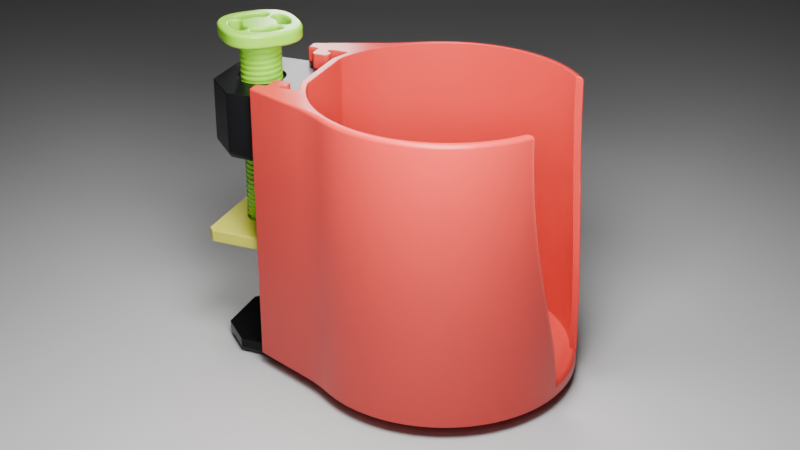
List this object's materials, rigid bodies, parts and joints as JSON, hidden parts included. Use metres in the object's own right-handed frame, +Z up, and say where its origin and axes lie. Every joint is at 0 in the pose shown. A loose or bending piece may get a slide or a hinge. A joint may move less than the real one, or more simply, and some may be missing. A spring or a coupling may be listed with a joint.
{
  "type": "desk clamp cup holder",
  "caption": "Open cup with a handle slot that slides by two hooked wings onto a C-shaped desk clamp, with a hand-wheel screw and a swivelling pressure pad.",
  "frame": {"origin": "point of the lower jaw's desk face that lies on the clamp screw's axis", "axes": "+Z up along the screw, out of the lower jaw's desk face; +Y from the cup towards the desk; +X across the clamp"},
  "size_m": [0.0948, 0.1292, 0.119],
  "materials": {
    "coral_plastic": "smooth semi-gloss coral red printed plastic",
    "black_plastic": "smooth gloss black plastic",
    "green_plastic": "semi-gloss lime green plastic",
    "yellow_plastic": "satin pale yellow plastic"
  },
  "bodies": {
    "clamp": {"clamp_frame": "black_plastic"},
    "cup": {"cup_holder": "coral_plastic"},
    "pad": {"pressure_pad": "yellow_plastic"},
    "screw": {"clamp_screw": "green_plastic"}
  },
  "joints": [
    {"name": "cup_lift", "type": "slide", "parent": "clamp", "child": "cup", "axis": [0, 0, 1], "range_m": [0, 0.095]},
    {"name": "pad_travel", "type": "slide", "parent": "clamp", "child": "pad", "axis": [0, 0, 1], "range_m": [-0.0137, 0.0281]},
    {"name": "screw_turn", "type": "hinge", "parent": "pad", "child": "screw", "pos_m": [0, 0, 0.108], "axis": [0, 0, 1], "range_deg": [-2590, 5320]}
  ],
  "couplings": [
    {"joint": "pad_travel", "follows": "screw_turn", "m_per_rad": 0.00030239}
  ]
}
